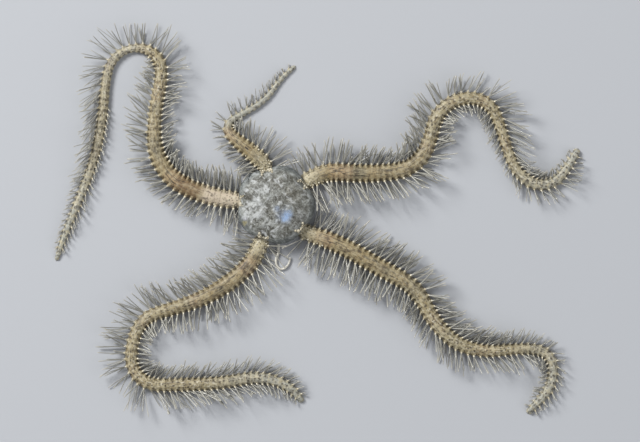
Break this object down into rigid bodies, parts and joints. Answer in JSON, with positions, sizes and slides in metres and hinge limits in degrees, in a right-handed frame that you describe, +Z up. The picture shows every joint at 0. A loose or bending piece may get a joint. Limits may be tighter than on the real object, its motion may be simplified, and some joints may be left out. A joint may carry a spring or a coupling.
{
  "type": "brittle star",
  "caption": "Still life-size model of a spiny brittle star lying mouth down, with a small round disc and long thin arms bent in curves, one of them short.",
  "frame": {"origin": "on the floor, under the middle of the whole animal's box", "axes": "+Z up out of the animal's back, +X along the animal's longest extent, to the picture's right, +Y to the picture's top"},
  "size_m": [0.0774, 0.0578, 0.0048],
  "materials": {
    "disc_skin": "soft mottled grey skin with fine scales, slightly wet",
    "mouth_plates": "pale limy plates",
    "jaw_plates": "cream limy plates",
    "tube_foot_skin": "wet translucent skin",
    "arm_plates": "ochre limy plates with brown streaks and glassy spines"
  },
  "bodies": {
    "root": {"disc": "disc_skin", "mouth_frame": "mouth_plates", "jaw_1": "jaw_plates", "jaw_2": "jaw_plates", "jaw_3": "jaw_plates", "jaw_4": "jaw_plates", "jaw_5": "jaw_plates", "tube_foot": "tube_foot_skin", "arm_1_base": "arm_plates", "arm_1_inner": "arm_plates", "arm_1_mid": "arm_plates", "arm_1_outer": "arm_plates", "arm_1_far": "arm_plates", "arm_1_tip": "arm_plates", "arm_2_base": "arm_plates", "arm_2_inner": "arm_plates", "arm_2_tip": "arm_plates", "arm_3_base": "arm_plates", "arm_3_inner": "arm_plates", "arm_3_mid": "arm_plates", "arm_3_outer": "arm_plates", "arm_3_far": "arm_plates", "arm_3_tip": "arm_plates", "arm_4_base": "arm_plates", "arm_4_inner": "arm_plates", "arm_4_mid": "arm_plates", "arm_4_outer": "arm_plates", "arm_4_far": "arm_plates", "arm_4_tip": "arm_plates", "arm_5_base": "arm_plates", "arm_5_inner": "arm_plates", "arm_5_mid": "arm_plates", "arm_5_outer": "arm_plates", "arm_5_tip": "arm_plates"}
  },
  "joints": []
}
